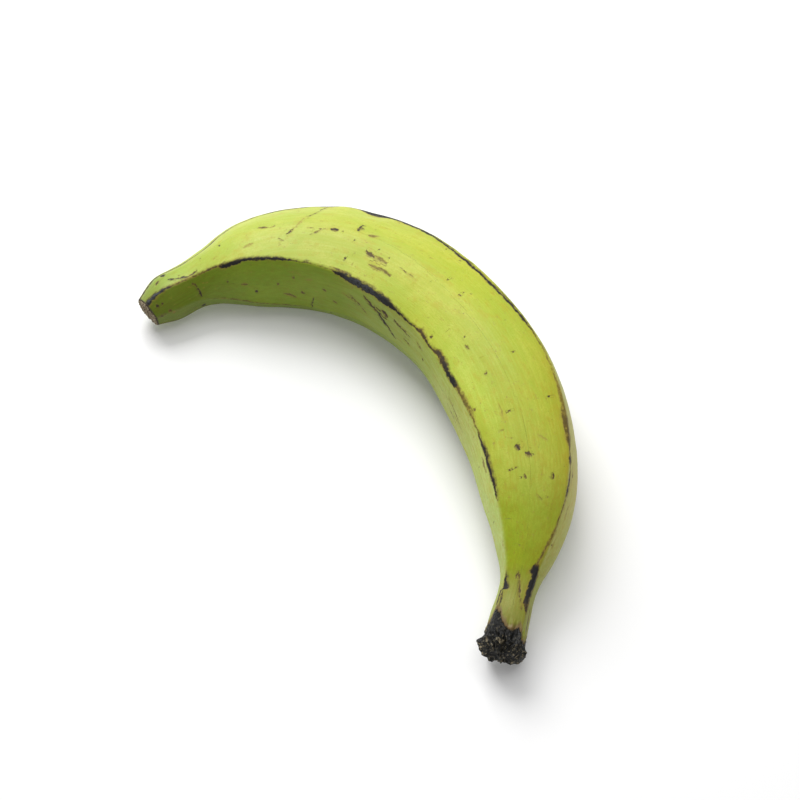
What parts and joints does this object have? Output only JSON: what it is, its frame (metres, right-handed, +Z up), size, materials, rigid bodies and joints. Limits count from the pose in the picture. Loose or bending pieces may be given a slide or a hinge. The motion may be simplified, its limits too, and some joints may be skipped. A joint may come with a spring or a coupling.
{
  "type": "plantain",
  "caption": "Whole green plantain lying on its side: a curved, ridged fruit with a tapering stem, a torn stem end and a blunt blossom tip.",
  "frame": {"origin": "on the surface that the fruit lies on, under the middle of its bounding box", "axes": "+X from the blossom tip towards the stem end, +Y towards the outer back of the curve, +Z up"},
  "size_m": [0.2264, 0.1148, 0.0419],
  "materials": {
    "peel": "waxy, yellow-green with dark ridge lines and brown marks; black and dry at the stem's cut"
  },
  "bodies": {
    "root": {"plantain": "peel"}
  },
  "joints": []
}
